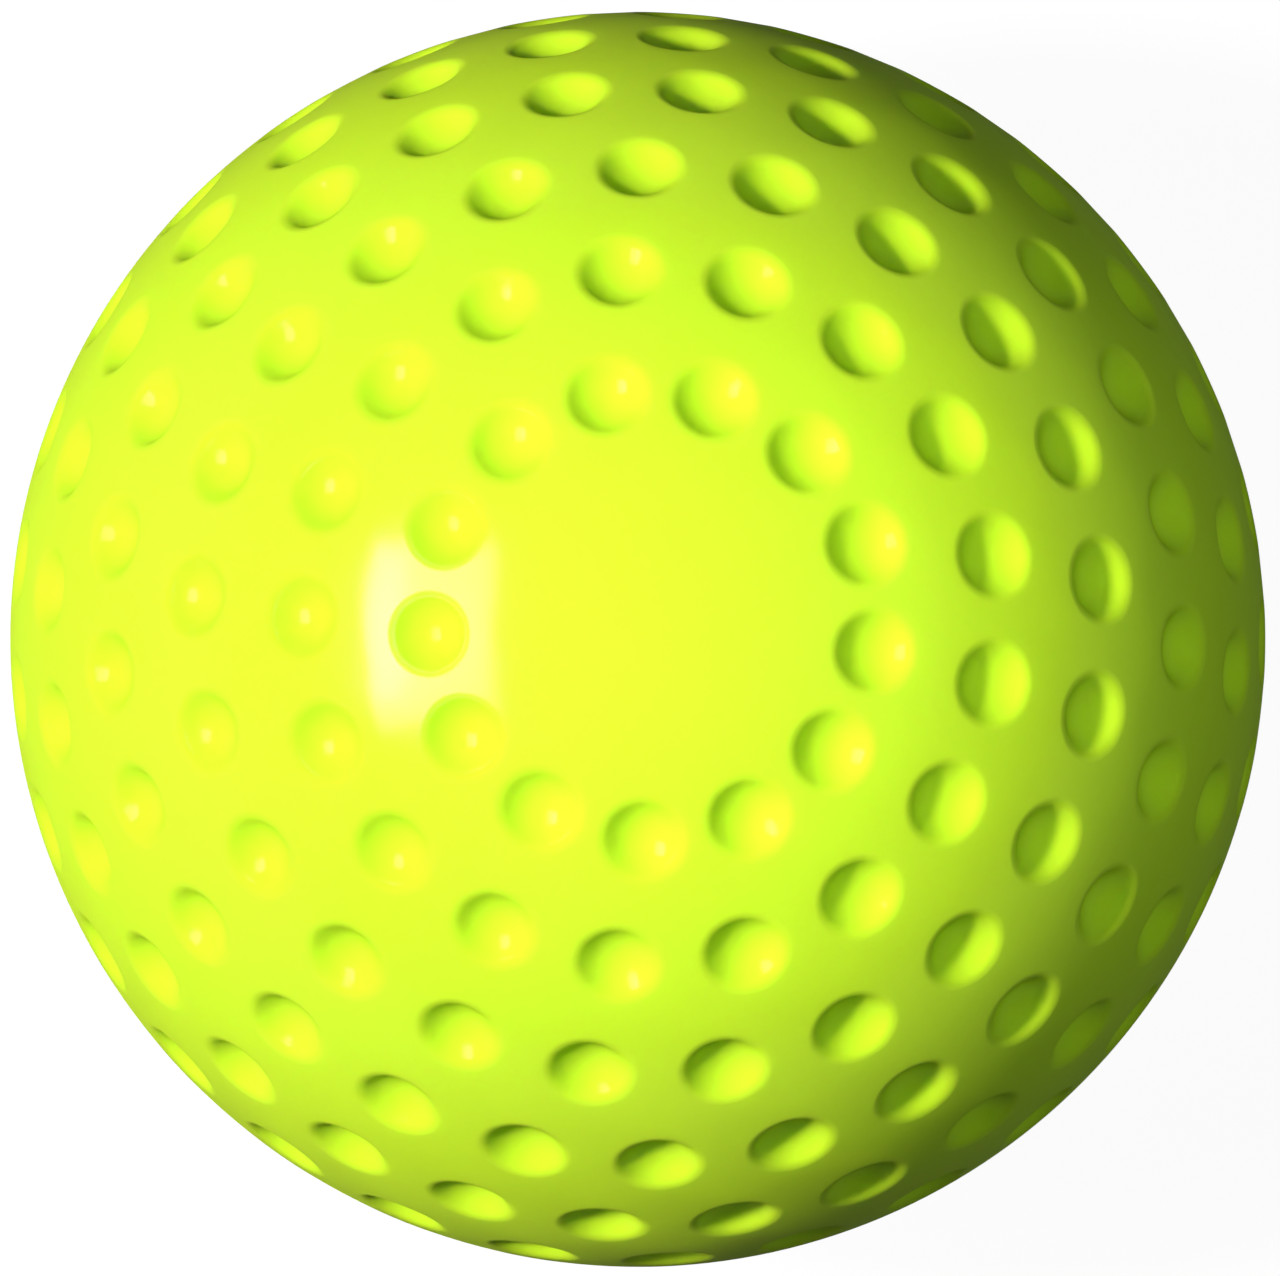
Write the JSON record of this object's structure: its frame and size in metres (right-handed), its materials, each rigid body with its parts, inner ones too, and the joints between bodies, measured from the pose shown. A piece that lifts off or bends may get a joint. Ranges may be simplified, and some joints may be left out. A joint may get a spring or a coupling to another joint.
{
  "type": "dimpled sports ball",
  "caption": "Hard round sports ball: moulded plastic half shells with rings of round dimples around bare polar caps, joined at the equator over a cork composition core.",
  "frame": {"origin": "centre of the ball", "axes": "+Z through the middle of the upper bare cap; the halves part on the XY plane; the index meridian of the dimple rings is turned 73.9 degrees from +X towards +Y"},
  "size_m": [0.073, 0.073, 0.073],
  "materials": {
    "cover": "glossy moulded PVC, fluorescent yellow-green",
    "core": "matt pressed cork granules in a rubber binder"
  },
  "bodies": {
    "root": {"upper_cover": "cover", "lower_cover": "cover", "core": "core"}
  },
  "joints": []
}
